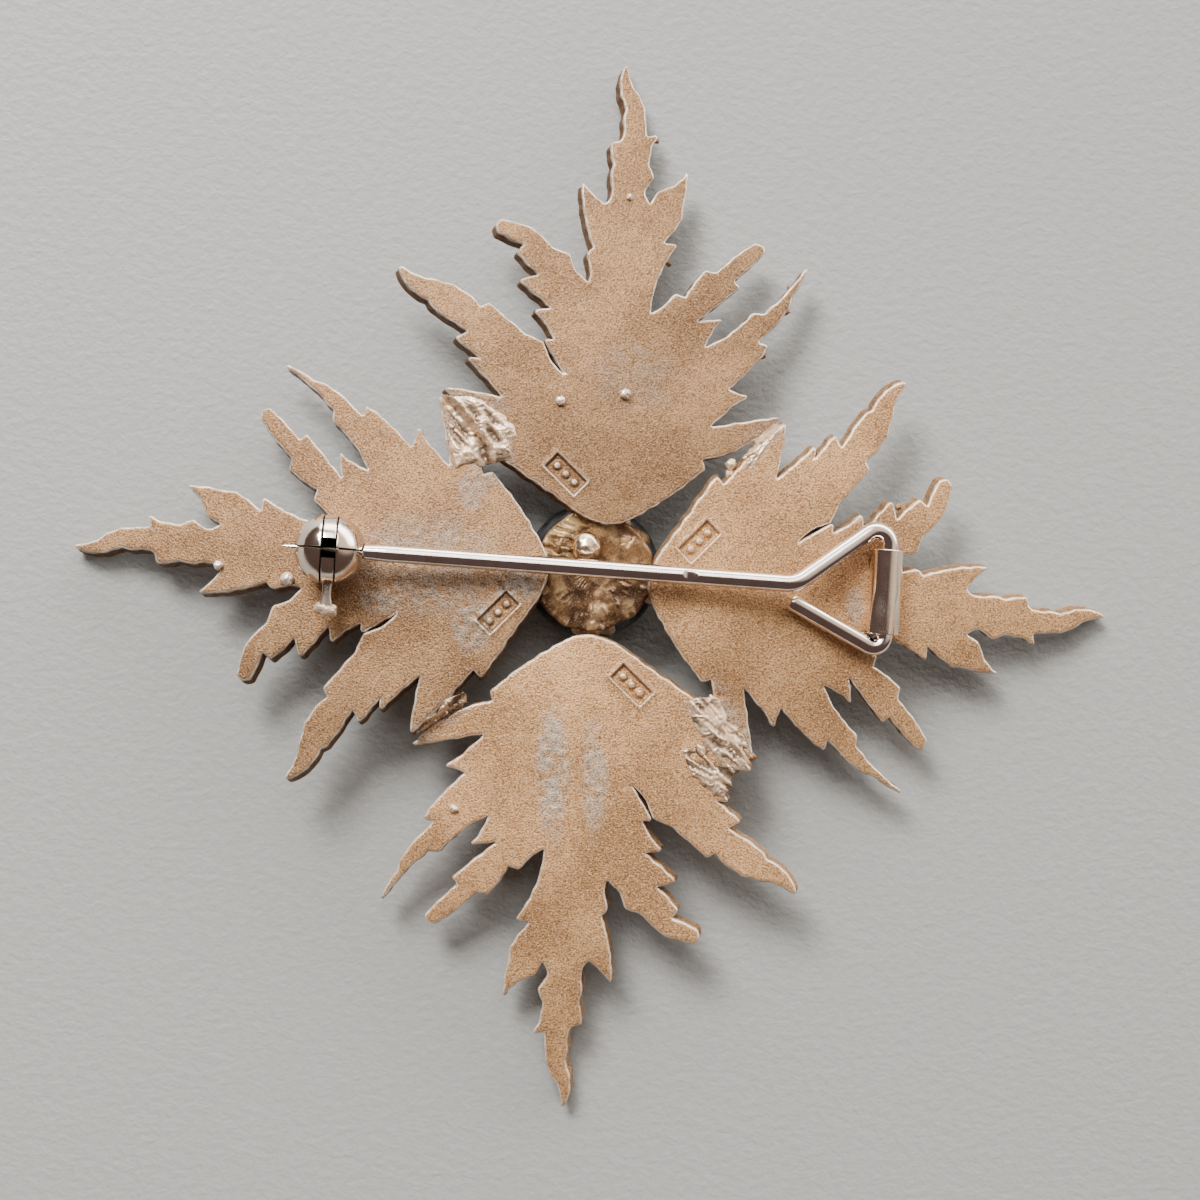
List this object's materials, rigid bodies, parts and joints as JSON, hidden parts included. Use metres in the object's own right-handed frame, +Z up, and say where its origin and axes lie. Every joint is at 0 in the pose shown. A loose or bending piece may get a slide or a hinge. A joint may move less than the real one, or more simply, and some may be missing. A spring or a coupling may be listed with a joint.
{
  "type": "leaf brooch",
  "caption": "Silver brooch of maple-leaf castings in a cross round a black stone, seen from the back, with a hinged wire pin and a turning ball catch.",
  "frame": {"origin": "centre of the brooch on the floor it lies on, under the middle of the cross of leaves", "axes": "+X towards the leaf with the hinge, +Y towards the top leaf, +Z up, out of the brooch's back"},
  "size_m": [0.0751, 0.0759, 0.0101],
  "materials": {
    "cast_silver": "cast silver with a warm tan tarnish, satin and granular, with bright rubbed edges",
    "black_stone": "polished black onyx",
    "bright_wire": "polished silver-coloured spring wire",
    "bright_catch": "polished silver"
  },
  "bodies": {
    "brooch": {"leaf_frame": "cast_silver", "stone": "black_stone"},
    "pin": {"pin": "bright_wire"},
    "roller": {"catch_roller": "bright_catch"}
  },
  "joints": [
    {"name": "pin_swing", "type": "hinge", "parent": "brooch", "child": "pin", "pos_m": [0.0208, -0.00104, 0.00605], "axis": [0.0715, 0.9974, 0], "range_deg": [0, 150]},
    {"name": "catch_turn", "type": "hinge", "parent": "brooch", "child": "roller", "pos_m": [-0.01909, 0.00189, 0.00785], "axis": [-0.9974, 0.0715, 0], "range_deg": [0, 100]}
  ]
}
